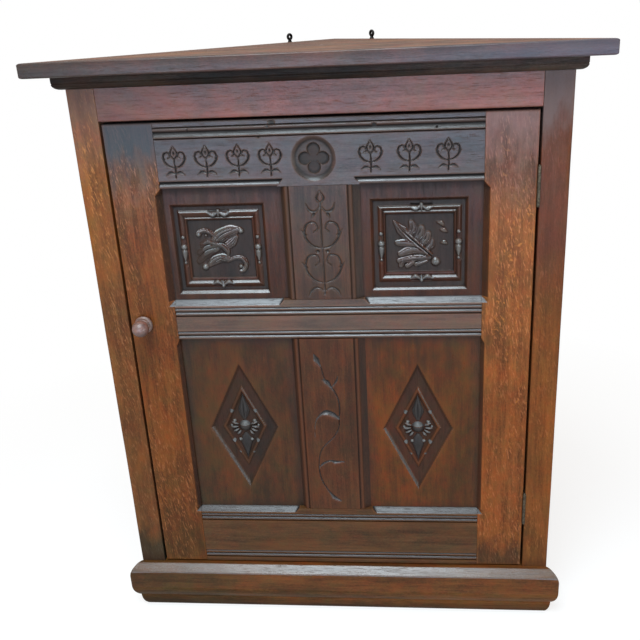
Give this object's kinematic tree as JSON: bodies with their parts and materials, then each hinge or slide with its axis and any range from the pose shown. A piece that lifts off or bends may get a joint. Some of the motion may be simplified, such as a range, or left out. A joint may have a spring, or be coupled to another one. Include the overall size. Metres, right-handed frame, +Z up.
{
  "type": "hanging corner cupboard",
  "caption": "Hanging corner cupboard with a triangular plan, moulded top and plinth, and a framed, carved panel door on butt hinges with a turn-knob latch.",
  "frame": {"origin": "centre of the bounding box's footprint, at the foot of the plinth", "axes": "+Z up, +Y into the corner of the room, +X to the viewer's right; the door faces -Y"},
  "size_m": [0.6978, 0.3493, 0.8407],
  "materials": {
    "waxed_oak": "quarter-sawn oak, stained orange-brown and waxed",
    "carved_oak": "dark stained oak, carved, waxed and rubbed bright on the edges",
    "turned_oak": "turned oak, handled smooth",
    "inner_oak": "planed oak, lightly stained",
    "hinge_brass": "tarnished brass",
    "dark_iron": "dark iron"
  },
  "bodies": {
    "carcass": {"top_board": "waxed_oak", "cornice_moulding": "waxed_oak", "frieze_rail": "waxed_oak", "base_rail": "carved_oak", "plinth_moulding": "carved_oak", "left_front_stile": "waxed_oak", "right_front_stile": "waxed_oak", "left_back_plank_1": "inner_oak", "left_back_plank_2": "inner_oak", "left_back_plank_3": "inner_oak", "right_back_plank_1": "inner_oak", "right_back_plank_2": "inner_oak", "right_back_plank_3": "inner_oak", "floor_board": "inner_oak", "lower_shelf": "inner_oak", "upper_shelf": "inner_oak", "left_floor_board_bearer": "inner_oak", "right_floor_board_bearer": "inner_oak", "left_lower_shelf_bearer": "inner_oak", "right_lower_shelf_bearer": "inner_oak", "left_upper_shelf_bearer": "inner_oak", "right_upper_shelf_bearer": "inner_oak", "left_stop_lower": "inner_oak", "left_stop_upper": "inner_oak", "right_stop": "inner_oak", "left_hanging_eye": "dark_iron", "right_hanging_eye": "dark_iron", "upper_hinge_frame_leaf": "hinge_brass", "lower_hinge_frame_leaf": "hinge_brass", "upper_hinge_pin": "hinge_brass", "lower_hinge_pin": "hinge_brass"},
    "door": {"door_lock_stile": "waxed_oak", "door_hinge_stile": "waxed_oak", "door_top_rail": "carved_oak", "door_lock_rail": "carved_oak", "door_bottom_rail": "carved_oak", "upper_muntin": "carved_oak", "lower_muntin": "carved_oak", "upper_left_panel": "carved_oak", "upper_right_panel": "carved_oak", "lower_left_panel": "carved_oak", "lower_right_panel": "carved_oak", "upper_hinge_door_leaf": "hinge_brass", "lower_hinge_door_leaf": "hinge_brass"},
    "latch": {"door_knob": "turned_oak", "latch_tongue": "dark_iron", "latch_screw": "dark_iron"}
  },
  "joints": [
    {"name": "door_swing", "type": "hinge", "parent": "carcass", "child": "door", "pos_m": [0.2725, -0.13775, 0.41675], "axis": [0, 0, 1], "range_deg": [0, 110]},
    {"name": "knob_turn", "type": "hinge", "parent": "door", "child": "latch", "pos_m": [-0.252, -0.13525, 0.4795], "axis": [0, 1, 0], "range_deg": [0, 90]}
  ]
}
